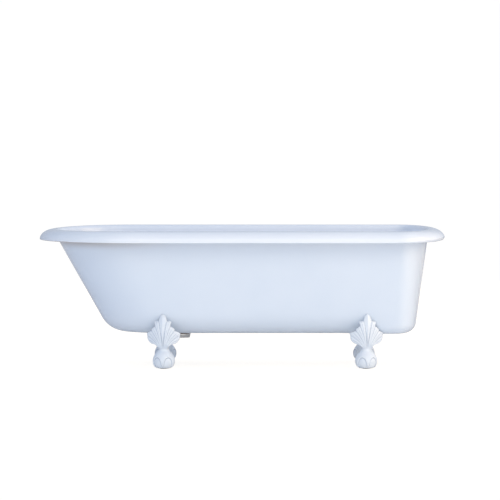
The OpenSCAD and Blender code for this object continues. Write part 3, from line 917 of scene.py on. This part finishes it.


# %% [markdown]
# ### The feet's paint
#
# The feet are painted in a gloss white with a brush. The flutes get painted
# shade, a greyer colour, and the highest ridges get a painted highlight, a brighter
# one. Two noises give the brush's broad marks and the paint's fine grain.

# %% The feet's paint
cloud_scale, brush_scale, grain_scale = 38.0, 60.0, 420.0
# Shares of painted shade in the hollows and painted highlight on the ridges
brush_h, grain_h, hollow_shade_share, ridge_highlight_share = 0.35 * mm, 0.05 * mm, 0.8, 0.6


def foot_paint():
    finish = Finish("foot_paint", Roughness=0.3, IOR=1.5)
    hollow = finish.node("ShaderNodeAttribute", attribute_name="hollow").outputs["Fac"]
    ridge = finish.node("ShaderNodeAttribute", attribute_name="ridge").outputs["Fac"]
    cloud = finish.noise(cloud_scale, 3.0)
    body = finish.mix(cloud, paint(229, 237, 246), paint(223, 232, 243))
    # Painted shade in the hollows, then a painted highlight on the ridges
    hollow_shade = finish.mix(finish.math("MULTIPLY", hollow, hollow_shade_share), body, paint(150, 164, 184))
    ridge_highlight = finish.mix(finish.math("MULTIPLY", ridge, ridge_highlight_share), hollow_shade, paint(238, 244, 250))
    finish.link(ridge_highlight, finish.shader.inputs["Base Color"])
    brushed = finish.bump(finish.noise(brush_scale, 3.0), brush_h)
    skin = finish.bump(finish.noise(grain_scale, 2.0), grain_h, brushed)
    finish.link(skin, finish.shader.inputs["Normal"])
    return finish.material


white_paint = foot_paint()
foot_turns = {head_foot_x: math.radians(-7), blunt_foot_x: math.radians(9)}
foot_names = {head_foot_x: "left", blunt_foot_x: "right"}
for x, turn in foot_turns.items():
    shape = foot_mesh(turn)
    shape.transform(Matrix.Translation((x, -bolt_y, 0)) @ Matrix.Rotation(turn, 4, "Z"))
    mirrored = shape.copy()
    mirrored.transform(Matrix.Scale(-1, 4, (0, 1, 0)))
    mirrored.flip_normals()
    for place, mesh in (("front", shape), ("back", mirrored)):
        node = f"claw_foot_{place}_{foot_names[x]}"
        piece(node + "_casting", mesh, white_paint, "foot_paint", node, sharp=60)

# %% [markdown]
# ## Studs, washers and nuts
#
# Each foot hangs on a stud with a washer and a nut. They sit under the flange and
# show only from below, but a plain cylinder there would look false. The stud
# gets a real thread, which is a profile that climbs by one pitch a turn, and the
# nut gets the chamfer that a real one has on both faces.

# %% The zinc finish
def metal_finish(name, colour, dark, roughness, grain):
    finish = Finish(name, Metallic=1.0, Roughness=roughness)
    cloud = finish.ramp(finish.noise(grain, 4.0), 0.35, 0.75)
    finish.link(finish.mix(cloud, colour, dark), finish.shader.inputs["Base Color"])
    finish.link(finish.bump(finish.noise(grain * 9, 2.0), 0.05 * mm), finish.shader.inputs["Normal"])
    return finish.material


zinc = metal_finish("zinc_steel", paint(186, 190, 194), paint(140, 144, 148), 0.38, 60.0)
print("zinc finish:", zinc.name)

# %% Studs
washer_t, nut_h, nut_af, washer_r = 2 * mm, 8 * mm, 17 * mm, 11 * mm
nut_z = flange_z - washer_t - nut_h
stud_low, stud_high = nut_z - 3 * mm, pad_z + tap_depth - 0.5 * mm
pitch, thread_depth = 1.5 * mm, 0.8 * mm


def stud_mesh():
    """A stud whose thread climbs one pitch a turn, with a chamfer at both ends."""
    steps, per_pitch = 32, 8
    rows = round((stud_high - stud_low) / pitch * per_pitch) + 1
    z = np.linspace(stud_low, stud_high, rows)[:, None]
    turn = np.linspace(0, 2 * math.pi, steps, endpoint=False)[None, :]
    phase = (z / pitch - turn / (2 * math.pi)) % 1
    depth = thread_depth * np.abs(2 * phase - 1)
    chamfer = np.maximum(0, 1.2 * mm - np.minimum(z - stud_low, stud_high - z))
    r = stud_r - np.maximum(depth, chamfer)
    points = np.stack([r * np.cos(turn), r * np.sin(turn), z + 0 * turn], axis=-1).reshape(-1, 3)
    return capped("stud", points, rows, steps)


def at_bolts(name, make):
    """One mesh with a copy of a small piece at every bolt."""
    return joined(name, [moved(make(), x, y) for x, y in bolts])


piece("foot_studs_threaded", at_bolts("studs", stud_mesh), zinc, "zinc_steel", "foot_studs")

# %% Washers and nuts
def washer_mesh():
    low, high = flange_z - washer_t, flange_z
    inner, edge = stud_r + 0.4 * mm, 0.3 * mm
    profile = [(inner, low), (washer_r - edge, low), (washer_r, low + edge), (washer_r, high - edge)]
    profile += [(washer_r - edge, high), (inner, high)]
    return turned("washer", profile, 48, open_middle=True)


def nut_mesh():
    """A hexagon prism cut by a cone at each face, with a round hole."""
    steps, chamfer_h, chamfer_run = 72, 1.2 * mm, 2.1 * mm
    hole_r, face_r = stud_r + thread_gap, nut_af / 2 - 0.3 * mm
    low, high, sixth = nut_z, nut_z + nut_h, math.pi / 3
    turns = around(steps)
    flats = [nut_af / 2 / math.cos((a + sixth / 2) % sixth - sixth / 2) for a in turns]
    sides = [(low, 0.0), (low + chamfer_h, chamfer_run), (high - chamfer_h, chamfer_run), (high, 0.0)]
    rings = [([min(flat, face_r + run) for flat in flats], z) for z, run in sides]
    rings += [([hole_r] * steps, z) for z in (high, low)]
    points = [(r * math.cos(a), r * math.sin(a), z) for radii, z in rings for r, a in zip(radii, turns)]
    return outward(new_mesh("nut", points, ring_faces(len(rings), steps, closed=True)))


piece("foot_washers_rounded", at_bolts("washers", washer_mesh), zinc, "zinc_steel", "foot_washers")
piece("foot_nuts_chamfered", at_bolts("nuts", nut_mesh), zinc, "zinc_steel", "foot_nuts", sharp=25)

# %% [markdown]
# ## The waste
#
# The waste is a turned brass body, plated bright where it shows in the basin. Its
# flange sits in the casting's recess on a seal, and under the bath a rubber and a
# fibre washer and a broad locknut pull it down. From the front only the edge of
# the locknut shows, as a dull grey ring. The metals differ in roughness and in the
# grain of their clouds, and the seals are rough and have no shine at all.

# %% Metals and seals of the waste
bright_nickel = metal_finish("plated_brass", paint(214, 212, 206), paint(196, 192, 184), 0.14, 45.0)
dull_nickel = metal_finish("dull_nickel", paint(250, 247, 244), paint(226, 221, 216), 0.4, 70.0)


def soft_finish(name, colour, dark, roughness, grain):
    finish = Finish(name, Roughness=roughness)
    cloud = finish.ramp(finish.noise(grain, 4.0), 0.3, 0.7)
    finish.link(finish.mix(cloud, colour, dark), finish.shader.inputs["Base Color"])
    finish.link(finish.bump(finish.noise(grain * 4, 3.0), 0.12 * mm), finish.shader.inputs["Normal"])
    return finish.material


rubber = soft_finish("seal_rubber", paint(52, 52, 54), paint(38, 38, 40), 0.62, 120.0)
fibre = soft_finish("fibre", paint(132, 84, 58), paint(98, 60, 42), 0.78, 200.0)
print("waste finishes:", [material.name for material in (bright_nickel, dull_nickel, rubber, fibre)])

# %% Sizes of the waste
top_seal_t, rubber_t, fibre_t, locknut_h = 1.5 * mm, 3.5 * mm, 1.5 * mm, 17 * mm
waste_flange_r, waste_flange_t, tail_r = 36 * mm, 4 * mm, 23 * mm
bore_r, bore_l, throat_r = 19 * mm, 15 * mm, 18 * mm
bar_h, bar_w, hub_r, post_r = 6 * mm, 4 * mm, 7 * mm, 3 * mm
locknut_r, locknut_end_r, under_washer_r = 41 * mm, 37 * mm, 38 * mm
waste_z = seat_z + top_seal_t
rubber_z = boss_z - rubber_t
fibre_z = rubber_z - fibre_t
locknut_z = fibre_z - locknut_h
tail_z = locknut_z + 1.5 * mm
bar_z = waste_z - 12 * mm
throat_z = waste_z + 1.5 * mm
waste_centre, ring_steps = (drain_x, 0.0), 128
bar_l = 40 * mm


def ring_mesh(name, section, edge):
    """A turned ring round the drain's axis, from the corners of its section, with rounded edges."""
    closed = rounded([*section, section[0], section[1]], edge)[1:-1]
    return turned(name, closed, ring_steps, waste_centre, open_middle=True)


def waste_ring(name, section, material, slot, node, edge, body="bath"):
    piece(name, ring_mesh(name, section, edge), material, slot, node, body=body)


print("waste at x =", drain_x, "metres, with a bore of radius", bore_r, "metres")

# %% [markdown]
# ### The strainer body
#
# The body is one ring: a dished flange, a throat and a threaded tail with the bore
# for the pipe. Two crossed bars and a hub in its throat carry the stopper's post.
# They are joined to it by booleans, as they are one casting with it.

# %% The strainer body
def strainer_mesh():
    section = [
        (throat_r, tail_z + bore_l),
        (bore_r, tail_z + bore_l),
        (bore_r, tail_z),
        (tail_r, tail_z),
        (tail_r, waste_z),
        (waste_flange_r, waste_z),
        (waste_flange_r, waste_z + waste_flange_t),
        (throat_r + 2 * mm, throat_z),
        (throat_r, throat_z - 2 * mm),
    ]
    body = new_object("strainer", ring_mesh("strainer", section, 0.8 * mm))
    ends = [(x, y) for x in (-bar_l / 2, bar_l / 2) for y in (-bar_w / 2, bar_w / 2)]
    for crossing in (ends, [(-y, x) for x, y in ends]):
        bar = hull_mesh("bar", [(x, y, z) for x, y in crossing for z in (bar_z, bar_z + bar_h)])
        combined(body, moved(bar, drain_x, 0), "UNION")
    hub_solid = turned("hub", [(hub_r, bar_z), (hub_r, bar_z + bar_h)], 48, waste_centre)
    combined(body, hub_solid, "UNION")
    hole_r = post_r + thread_gap
    hole = turned("hole", [(hole_r, bar_z - past), (hole_r, bar_z + 9 * mm)], 32, waste_centre)
    combined(body, hole, "DIFFERENCE")
    mesh = body.data
    bpy.data.objects.remove(body)
    return mesh


piece("waste_strainer", strainer_mesh(), bright_nickel, "plated_brass", "waste_flange", sharp=35)

# %% [markdown]
# ### Seals and locknut
#
# The seals are plain rings with soft edges. The locknut tapers downwards and has a
# short upright rim at its top, which is the part that shows in a side view.

# %% Seals and locknut
def ring_section(outer, inner, low, high):
    return [(inner, low), (outer, low), (outer, high), (inner, high)]


top_seal_section = ring_section(waste_flange_r - 1 * mm, drain_r, seat_z, waste_z)
waste_ring("waste_top_seal_ring", top_seal_section, rubber, "seal_rubber", "waste_top_seal", 0.3 * mm)
rubber_section = ring_section(under_washer_r, tail_r + 0.5 * mm, rubber_z, boss_z)
waste_ring("waste_rubber_ring", rubber_section, rubber, "seal_rubber", "waste_rubber_washer", 0.8 * mm)
fibre_section = ring_section(under_washer_r, tail_r + 0.5 * mm, fibre_z, rubber_z)
waste_ring("waste_fibre_ring", fibre_section, fibre, "fibre", "waste_fibre_washer", 0.3 * mm)
rim_low = locknut_z + locknut_h - 4 * mm
locknut_section = [
    (tail_r + thread_gap, locknut_z),
    (locknut_end_r, locknut_z),
    (locknut_r - 0.5 * mm, rim_low),
    (locknut_r, rim_low + 0.5 * mm),
    (locknut_r, locknut_z + locknut_h),
    (tail_r + thread_gap, locknut_z + locknut_h),
]
waste_ring("waste_locknut_ring", locknut_section, dull_nickel, "dull_nickel", "waste_locknut", 0.9 * mm)

# %% [markdown]
# ## The stopper
#
# The stopper lifts and turns. A post stands in the strainer's hub, a sleeve
# slides on it, and the cap with its seal and knob turns on the sleeve. All are
# turned pieces, so each is a section carried round the drain's axis.

# %% The stopper
cap_r, cap_t, cap_crown = 26 * mm, 2.6 * mm, 1.6 * mm
sleeve_r, collar_r, collar_h, run_gap = 6 * mm, 9 * mm, 2 * mm, 0.08 * mm
knob_r, knob_h, lift, post_spare = 8.5 * mm, 19 * mm, 9 * mm, 9 * mm
nickel = bright_nickel, "plated_brass"
cap_z = floor_z + 1.4 * mm
seal_z = waste_z + 2.5 * mm
sleeve_z = bar_z + bar_h + 0.2 * mm
cap_hub_z = sleeve_z + collar_h + 0.15 * mm
cap_hub_r = 12 * mm
knob_z = cap_z + cap_t + cap_crown
post_top = bar_z + bar_h + lift + post_spare
print("stopper's cap", round(cap_z / mm, 1), "mm up, lifts", round(lift / mm, 1), "mm")

post_section = [(post_r, bar_z), (post_r, post_top - 0.6 * mm), (post_r - 0.6 * mm, post_top)]
post = turned("post", post_section, 48, waste_centre)
piece("stopper_post_turned", post, *nickel, "stopper_post")

sleeve_top = knob_z - 0.3 * mm
sleeve_section = [
    (post_r + run_gap, sleeve_z),
    (collar_r, sleeve_z),
    (collar_r, sleeve_z + collar_h),
    (sleeve_r, sleeve_z + collar_h),
    (sleeve_r, sleeve_top),
    (post_r + run_gap, sleeve_top),
]
waste_ring("stopper_sleeve_turned", sleeve_section, *nickel, "stopper_sleeve", 0.2 * mm, "sleeve")

cap_section = [
    (sleeve_r + run_gap, cap_hub_z),
    (cap_hub_r, cap_hub_z),
    (cap_hub_r, cap_z),
    (cap_r, cap_z),
    (cap_r, cap_z + cap_t),
    (knob_r + 1 * mm, knob_z),
    (sleeve_r + run_gap, knob_z),
]
waste_ring("stopper_cap_turned", cap_section, *nickel, "stopper_cap", 0.7 * mm, "stopper")
seal_section = ring_section(cap_r - 2 * mm, cap_hub_r, seal_z, cap_z)
waste_ring("stopper_seal_ring", seal_section, rubber, "seal_rubber", "stopper_seal", 0.5 * mm, "stopper")

# %% [markdown]
# ### The knob
#
# The knob is what a hand lifts, so it has a flared foot, a waist for the fingers
# and a round grip. Its outline is a hollow arc followed by a ball, turned round
# the axis, and a blind socket for the post is cut out of its foot.

# %% The knob
def knob_profile():
    """The knob's outline from its foot up: a flared foot, a waist and a round grip."""
    waist_z, waist_r, waist_in = knob_z + knob_h * 0.26, 5 * mm, 2.2 * mm
    foot_r, ball_z = knob_r - 1 * mm, knob_z + knob_h - knob_r
    made = [(foot_r, knob_z)]
    for i in range(17):
        a = math.pi * (0.5 + i / 16)
        r = knob_r + waist_in + waist_r * math.cos(a)
        if r < foot_r:
            made.append((r, waist_z - waist_r * math.sin(a)))
    made = sorted(made, key=lambda p: p[1])
    start = math.asin(max(-1, min(1, (made[-1][1] - ball_z) / knob_r)))
    for i in range(1, 25):
        a = start + (math.pi / 2 - start) * i / 24
        made.append((max(0.2 * mm, knob_r * math.cos(a)), ball_z + knob_r * math.sin(a)))
    return made


socket_r, socket_top = post_r + 0.6 * mm, post_top + 1 * mm
socket = turned("socket", [(socket_r, knob_z - past), (socket_r, socket_top)], 48, waste_centre)
knob_solid = new_object("knob", turned("knob", knob_profile(), 96, waste_centre))
combined(knob_solid, socket, "DIFFERENCE")
knob_mesh = knob_solid.data
bpy.data.objects.remove(knob_solid)
piece("stopper_knob_turned", knob_mesh, *nickel, "stopper_knob", body="stopper", sharp=35)

# %% [markdown]
# ## The floor
#
# The bath stands on a plain pale floor that fades into white, as in a product
# picture. One floor has to do three things, so it asks what kind of ray meets it.
# To the light it is pale and throws it back at the bath from below. To the camera
# it is lifted to white, with the bath's soft shadow kept. In the enamel's mirror it
# is dimmer, because a studio's floor isn't white all the way out, and that dimness
# draws the bath's edges against the white ground.

# %% The floor
floor_half, dim, faint = 400.0, (0.55, 0.55, 0.55), (0.32, 0.28, 0.225)


def plain_shader(tree, kind, colour, strength=None):
    """A diffuse, glowing or background shader of one colour."""
    made = tree.nodes.new(kind)
    made.inputs["Color"].default_value = (*colour, 1)
    if strength is not None:
        made.inputs["Strength"].default_value = strength
    return made.outputs[0]


def by_ray(tree, ray, usual, special):
    """The special shader for rays of one kind, and the usual one for all others."""
    rays, choice = tree.nodes.new("ShaderNodeLightPath"), tree.nodes.new("ShaderNodeMixShader")
    for source, socket in zip((rays.outputs[ray], usual, special), choice.inputs):
        tree.links.new(source, socket)
    return choice.outputs[0]


corners = [(floor_half * x, floor_half * y, 0) for x, y in ((-1, -1), (1, -1), (1, 1), (-1, 1))]
floor = new_object("floor", new_mesh("floor", corners, [(0, 1, 2, 3)]))

floor_material = bpy.data.materials.new("floor")
floor_material.use_nodes = True
tree = floor_material.node_tree
tree.nodes.clear()
pale = plain_shader(tree, "ShaderNodeBsdfDiffuse", (0.95, 0.95, 0.95))
mirrored_floor = plain_shader(tree, "ShaderNodeBsdfDiffuse", dim)
lifted = tree.nodes.new("ShaderNodeAddShader")
tree.links.new(plain_shader(tree, "ShaderNodeBsdfDiffuse", faint), lifted.inputs[0])
tree.links.new(plain_shader(tree, "ShaderNodeEmission", (1, 1, 1), 0.84), lifted.inputs[1])
unseen = by_ray(tree, "Is Glossy Ray", pale, mirrored_floor)
output = tree.nodes.new("ShaderNodeOutputMaterial")
tree.links.new(by_ray(tree, "Is Camera Ray", unseen, lifted.outputs[0]), output.inputs["Surface"])
floor.data.materials.append(floor_material)
print("floor", 2 * floor_half, "metres square")

# %% [markdown]
# ## World and lamps
#
# The main light is a warm window to the right and a little in front, so the blunt
# end is bright and the head end falls into shade. A low strip in front lights the
# feet, a soft one above lights the roll, and a broad one behind clears the floor.
# Blue air fills the rest, and the warm lamps and the blue air together give the
# slightly cool white of enamel.
#
# Glossy surfaces mirror their surroundings, and those are dark on the left and
# bright on the right. The lamp behind is left out of mirrors, because it would burn
# a hard line along the far crest.

# %% The world
world = bpy.data.worlds.new("studio")
bpy.context.scene.world = world
world.use_nodes = True
tree = world.node_tree
air = tree.nodes["Background"]
air.inputs["Color"].default_value = (0.72, 0.81, 1.0, 1)
air.inputs["Strength"].default_value = 0.745
mirrored = tree.nodes.new("ShaderNodeBackground")
mirrored.inputs["Color"].default_value = (0.78, 0.86, 1.0, 1)
axes = tree.nodes.new("ShaderNodeSeparateXYZ")
tree.links.new(tree.nodes.new("ShaderNodeTexCoord").outputs["Generated"], axes.inputs[0])
brighter = tree.nodes.new("ShaderNodeMapRange")
for name, value in (("From Min", -1.0), ("From Max", 1.0), ("To Min", 0.12), ("To Max", 1.1)):
    brighter.inputs[name].default_value = value
tree.links.new(axes.outputs["X"], brighter.inputs["Value"])
tree.links.new(brighter.outputs["Result"], mirrored.inputs["Strength"])
soft = by_ray(tree, "Is Glossy Ray", air.outputs[0], mirrored.outputs[0])
white = plain_shader(tree, "ShaderNodeBackground", (1, 1, 1), 1.0)
tree.links.new(by_ray(tree, "Is Camera Ray", soft, white), tree.nodes["World Output"].inputs["Surface"])
print("air of strength", round(air.inputs["Strength"].default_value, 3))

# %% The lamps
def lamp(name, place, target, size, watts, colour):
    data = bpy.data.lights.new(name, "AREA")
    data.shape, data.size, data.size_y = "RECTANGLE", *size
    data.energy, data.color = watts, colour
    made = bpy.data.objects.new(name, data)
    made.location = place
    made.rotation_euler = (Vector(target) - Vector(place)).to_track_quat("-Z", "Y").to_euler()
    bpy.context.scene.collection.objects.link(made)
    return made


lamp("window_light", (4.2, -1.6, 1.9), (0.0, 0.0, 0.4), (3.6, 3.2), 84, (1.0, 0.76, 0.46))
lamp("low_fill", (0.0, -4.6, 0.3), (0.0, 0.0, 0.15), (7.0, 0.6), 38, (1.0, 0.9, 0.7))
lamp("top_light", (0.0, -4.2, 3.4), (0.0, -1.0, 0.0), (6.0, 2.0), 46, (1.0, 0.94, 0.8))
back_light = lamp("back_light", (-0.4, 6.0, 2.0), (0.0, 0.0, 0.4), (8.0, 2.4), 150, (1.0, 0.84, 0.62))
back_light.visible_glossy = False
